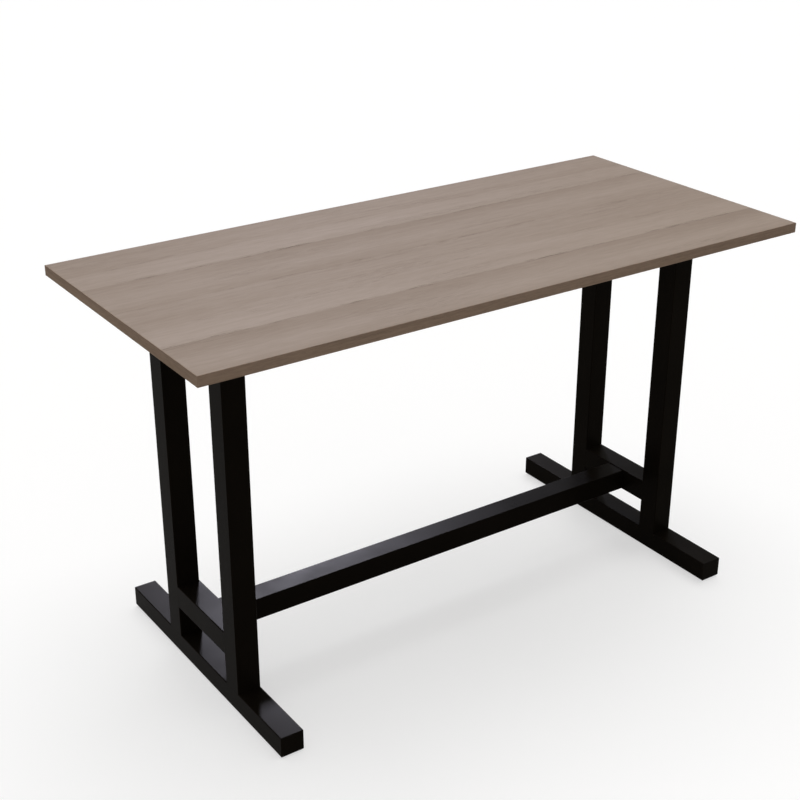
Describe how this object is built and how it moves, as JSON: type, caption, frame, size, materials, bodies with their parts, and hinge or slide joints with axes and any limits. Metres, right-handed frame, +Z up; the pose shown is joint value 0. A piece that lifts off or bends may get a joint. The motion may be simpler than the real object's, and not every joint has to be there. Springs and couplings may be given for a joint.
{
  "type": "study table",
  "caption": "Rectangular study table: laminated wood-look top on two black steel end frames with paired posts, long feet and a low stretcher, on levelling feet.",
  "frame": {"origin": "on the floor, under the middle of the top, levelling feet screwed fully in", "axes": "+X along the top's length, +Y to the back, +Z up"},
  "size_m": [1.27, 0.58, 0.745],
  "materials": {
    "oak_laminate": "matt grey-brown oak decor",
    "particle_board": "raw particle board",
    "backing_laminate": "matt plain laminate",
    "black_steel": "satin black powder coat",
    "black_plastic": "fine-textured black",
    "black_screws": "black oxide",
    "brass": "plain machined",
    "zinc_steel": "bright zinc plate",
    "nylon": "moulded black nylon"
  },
  "bodies": {
    "table": {"top_laminate": "oak_laminate", "front_edge_band": "oak_laminate", "rear_edge_band": "oak_laminate", "left_edge_band": "oak_laminate", "right_edge_band": "oak_laminate", "top_board": "particle_board", "underside_laminate": "backing_laminate", "left_foot": "black_steel", "left_front_post": "black_steel", "left_rear_post": "black_steel", "left_crossbar": "black_steel", "left_top_plate": "black_steel", "left_frame_welds": "black_steel", "left_spigot": "black_steel", "right_foot": "black_steel", "right_front_post": "black_steel", "right_rear_post": "black_steel", "right_crossbar": "black_steel", "right_top_plate": "black_steel", "right_frame_welds": "black_steel", "right_spigot": "black_steel", "stretcher": "black_steel", "left_foot_front_cap": "black_plastic", "left_foot_rear_cap": "black_plastic", "right_foot_front_cap": "black_plastic", "right_foot_rear_cap": "black_plastic", "top_screws": "black_screws", "stretcher_screws": "black_screws", "top_inserts": "brass", "stretcher_nuts": "zinc_steel", "rivet_nuts": "zinc_steel"},
    "front_left_pad": {"front_left_pad": "nylon"},
    "front_left_stud": {"front_left_stud": "zinc_steel"},
    "rear_left_pad": {"rear_left_pad": "nylon"},
    "rear_left_stud": {"rear_left_stud": "zinc_steel"},
    "front_right_pad": {"front_right_pad": "nylon"},
    "front_right_stud": {"front_right_stud": "zinc_steel"},
    "rear_right_pad": {"rear_right_pad": "nylon"},
    "rear_right_stud": {"rear_right_stud": "zinc_steel"}
  },
  "joints": [
    {"name": "front_left_pad_drop", "type": "slide", "parent": "table", "child": "front_left_pad", "axis": [0, 0, -1], "range_m": [0, 0.01]},
    {"name": "front_left_stud_turn", "type": "hinge", "parent": "front_left_pad", "child": "front_left_stud", "pos_m": [-0.5, -0.244, 0.003], "axis": [0, 0, -1], "range_deg": [0, 2880]},
    {"name": "rear_left_pad_drop", "type": "slide", "parent": "table", "child": "rear_left_pad", "axis": [0, 0, -1], "range_m": [0, 0.01]},
    {"name": "rear_left_stud_turn", "type": "hinge", "parent": "rear_left_pad", "child": "rear_left_stud", "pos_m": [-0.5, 0.244, 0.003], "axis": [0, 0, -1], "range_deg": [0, 2880]},
    {"name": "front_right_pad_drop", "type": "slide", "parent": "table", "child": "front_right_pad", "axis": [0, 0, -1], "range_m": [0, 0.01]},
    {"name": "front_right_stud_turn", "type": "hinge", "parent": "front_right_pad", "child": "front_right_stud", "pos_m": [0.5, -0.244, 0.003], "axis": [0, 0, -1], "range_deg": [0, 2880]},
    {"name": "rear_right_pad_drop", "type": "slide", "parent": "table", "child": "rear_right_pad", "axis": [0, 0, -1], "range_m": [0, 0.01]},
    {"name": "rear_right_stud_turn", "type": "hinge", "parent": "rear_right_pad", "child": "rear_right_stud", "pos_m": [0.5, 0.244, 0.003], "axis": [0, 0, -1], "range_deg": [0, 2880]}
  ],
  "couplings": [
    {"joint": "front_left_pad_drop", "follows": "front_left_stud_turn", "m_per_rad": 0.00019894},
    {"joint": "rear_left_pad_drop", "follows": "rear_left_stud_turn", "m_per_rad": 0.00019894},
    {"joint": "front_right_pad_drop", "follows": "front_right_stud_turn", "m_per_rad": 0.00019894},
    {"joint": "rear_right_pad_drop", "follows": "rear_right_stud_turn", "m_per_rad": 0.00019894}
  ]
}
